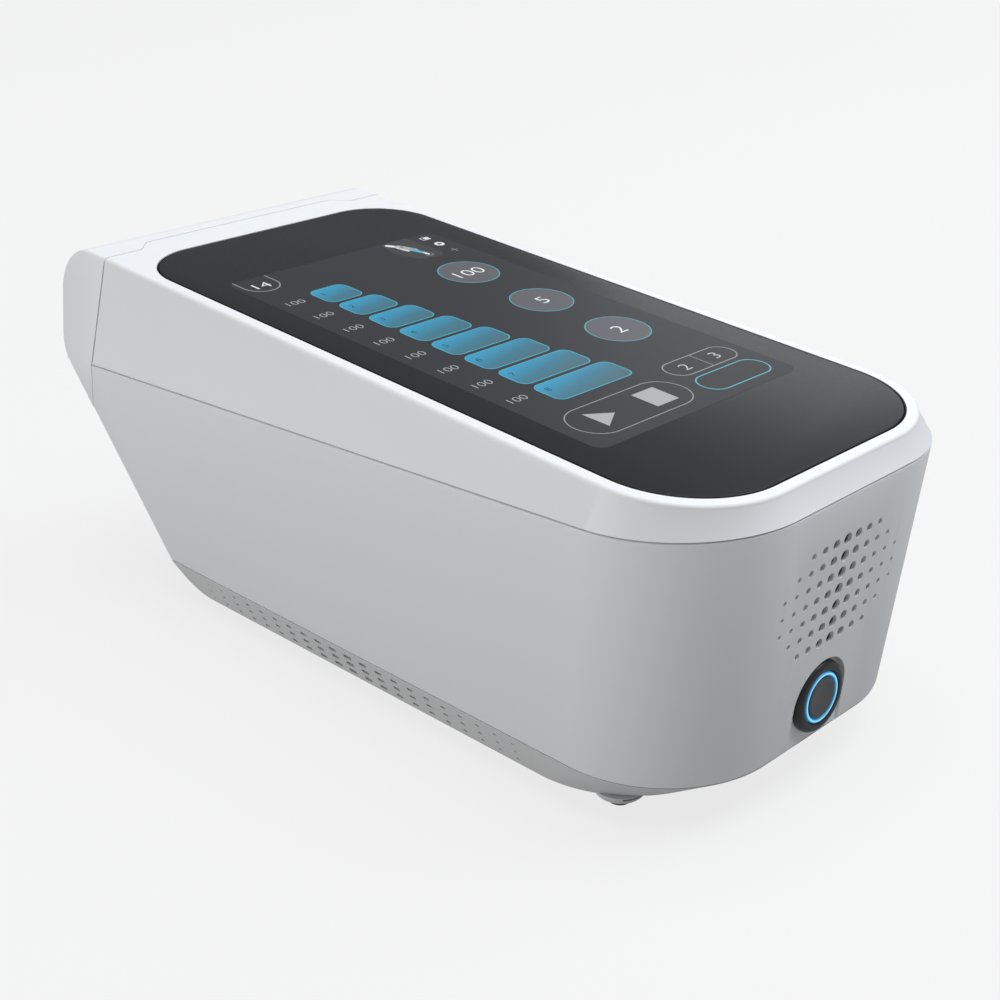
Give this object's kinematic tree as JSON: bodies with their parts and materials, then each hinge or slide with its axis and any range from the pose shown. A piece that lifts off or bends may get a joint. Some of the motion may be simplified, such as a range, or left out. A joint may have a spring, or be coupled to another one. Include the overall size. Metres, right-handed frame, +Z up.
{
  "type": "compression therapy pump",
  "caption": "Tabletop air pump for compression garments: wedge-shaped white housing with a sloping touch screen, a lit power button, a speaker grille and rear hose sockets.",
  "frame": {"origin": "middle of the footprint, on the surface that the foot pads stand on", "axes": "+Z up, -Y towards the front wall with the speaker grille and the power button, +X to the right of a person who faces that wall"},
  "size_m": [0.1254, 0.2698, 0.1149],
  "materials": {
    "white_shell": "satin white moulded shell",
    "grey_band": "matt mid-grey moulded tray",
    "screen_glass": "polished dark touch glass, opaque with its lit screen",
    "black_foam": "soft black foam tape",
    "display_module": "dark display module",
    "board_laminate": "green circuit laminate",
    "battery_wrap": "blue shrink wrap over cells",
    "strap_webbing": "dark woven strap",
    "bezel_black": "gloss black metal bezel",
    "ring_light": "blue lit ring",
    "button_metal": "dark grey anodised disc",
    "switch_black": "black switch moulding",
    "nut_brass": "machined brass",
    "speaker_steel": "grey painted pressing",
    "cone_paper": "dark fibre cone",
    "pressed_steel": "zinc plated pressing",
    "soft_rubber": "black moulded rubber",
    "core_steel": "laminated electrical steel",
    "copper_winding": "lacquered copper winding",
    "armature_aluminium": "machined aluminium",
    "nickel_magnet": "nickel plated magnet",
    "cast_aluminium": "matt die-cast aluminium",
    "clear_hose": "translucent silicone hose",
    "manifold_nylon": "natural nylon",
    "valve_resin": "blue coil resin",
    "plunger_steel": "ground stainless steel",
    "socket_grey": "dark grey moulding",
    "inlet_black": "black inlet moulding",
    "fan_black": "black fan moulding",
    "foot_rubber": "dark rubber pad"
  },
  "bodies": {
    "pump_body": {"upper_housing": "white_shell", "lower_housing": "white_shell", "rear_cover": "white_shell", "base_tray": "grey_band", "touch_glass": "screen_glass", "glass_gasket": "black_foam", "display_panel": "display_module", "main_board": "board_laminate", "battery_pack": "battery_wrap", "battery_strap": "strap_webbing", "button_bezel": "bezel_black", "button_light_ring": "ring_light", "switch_body": "switch_black", "button_nut": "nut_brass", "speaker_frame": "speaker_steel", "speaker_cone": "cone_paper", "compressor_frame": "pressed_steel", "magnet_core_left": "core_steel", "magnet_core_right": "core_steel", "coil_left": "copper_winding", "coil_right": "copper_winding", "diaphragm_front": "soft_rubber", "diaphragm_rear": "soft_rubber", "pump_head_front": "cast_aluminium", "pump_head_rear": "cast_aluminium", "compressor_mount_left": "soft_rubber", "compressor_mount_right": "soft_rubber", "compressor_hose_front": "clear_hose", "compressor_hose_rear": "clear_hose", "valve_manifold": "manifold_nylon", "valve_1": "valve_resin", "valve_2": "valve_resin", "valve_3": "valve_resin", "valve_4": "valve_resin", "valve_5": "valve_resin", "valve_6": "valve_resin", "valve_7": "valve_resin", "valve_8": "valve_resin", "outlet_hoses_left": "clear_hose", "outlet_hoses_right": "clear_hose", "hose_socket_left": "socket_grey", "hose_socket_right": "socket_grey", "power_inlet": "inlet_black", "fan_frame": "fan_black", "foot_pad_1": "foot_rubber", "foot_pad_2": "foot_rubber", "foot_pad_3": "foot_rubber", "foot_pad_4": "foot_rubber"},
    "button_cap": {"button_cap": "button_metal"},
    "fan_rotor": {"fan_rotor": "fan_black"},
    "armature": {"armature": "armature_aluminium", "armature_magnet": "nickel_magnet"},
    "plunger_1": {"valve_plunger_1": "plunger_steel"},
    "plunger_2": {"valve_plunger_2": "plunger_steel"},
    "plunger_3": {"valve_plunger_3": "plunger_steel"},
    "plunger_4": {"valve_plunger_4": "plunger_steel"},
    "plunger_5": {"valve_plunger_5": "plunger_steel"},
    "plunger_6": {"valve_plunger_6": "plunger_steel"},
    "plunger_7": {"valve_plunger_7": "plunger_steel"},
    "plunger_8": {"valve_plunger_8": "plunger_steel"}
  },
  "joints": [
    {"name": "button_press", "type": "slide", "parent": "pump_body", "child": "button_cap", "axis": [0, 1, 0], "range_m": [0, 0.0015], "stiffness_N_per_m": 300, "springref_m": -0.004},
    {"name": "fan_spin", "type": "hinge", "parent": "pump_body", "child": "fan_rotor", "pos_m": [0.042, 0.014, 0.0262], "axis": [1, 0, 0], "continuous": true},
    {"name": "armature_stroke", "type": "slide", "parent": "pump_body", "child": "armature", "axis": [0, 1, 0], "range_m": [-0.0015, 0.0015], "stiffness_N_per_m": 2000},
    {"name": "valve_1_lift", "type": "slide", "parent": "pump_body", "child": "plunger_1", "axis": [0, 0, -1], "range_m": [0, 0.001], "stiffness_N_per_m": 200, "springref_m": -0.003},
    {"name": "valve_2_lift", "type": "slide", "parent": "pump_body", "child": "plunger_2", "axis": [0, 0, -1], "range_m": [0, 0.001], "stiffness_N_per_m": 200, "springref_m": -0.003},
    {"name": "valve_3_lift", "type": "slide", "parent": "pump_body", "child": "plunger_3", "axis": [0, 0, -1], "range_m": [0, 0.001], "stiffness_N_per_m": 200, "springref_m": -0.003},
    {"name": "valve_4_lift", "type": "slide", "parent": "pump_body", "child": "plunger_4", "axis": [0, 0, -1], "range_m": [0, 0.001], "stiffness_N_per_m": 200, "springref_m": -0.003},
    {"name": "valve_5_lift", "type": "slide", "parent": "pump_body", "child": "plunger_5", "axis": [0, 0, -1], "range_m": [0, 0.001], "stiffness_N_per_m": 200, "springref_m": -0.003},
    {"name": "valve_6_lift", "type": "slide", "parent": "pump_body", "child": "plunger_6", "axis": [0, 0, -1], "range_m": [0, 0.001], "stiffness_N_per_m": 200, "springref_m": -0.003},
    {"name": "valve_7_lift", "type": "slide", "parent": "pump_body", "child": "plunger_7", "axis": [0, 0, -1], "range_m": [0, 0.001], "stiffness_N_per_m": 200, "springref_m": -0.003},
    {"name": "valve_8_lift", "type": "slide", "parent": "pump_body", "child": "plunger_8", "axis": [0, 0, -1], "range_m": [0, 0.001], "stiffness_N_per_m": 200, "springref_m": -0.003}
  ]
}
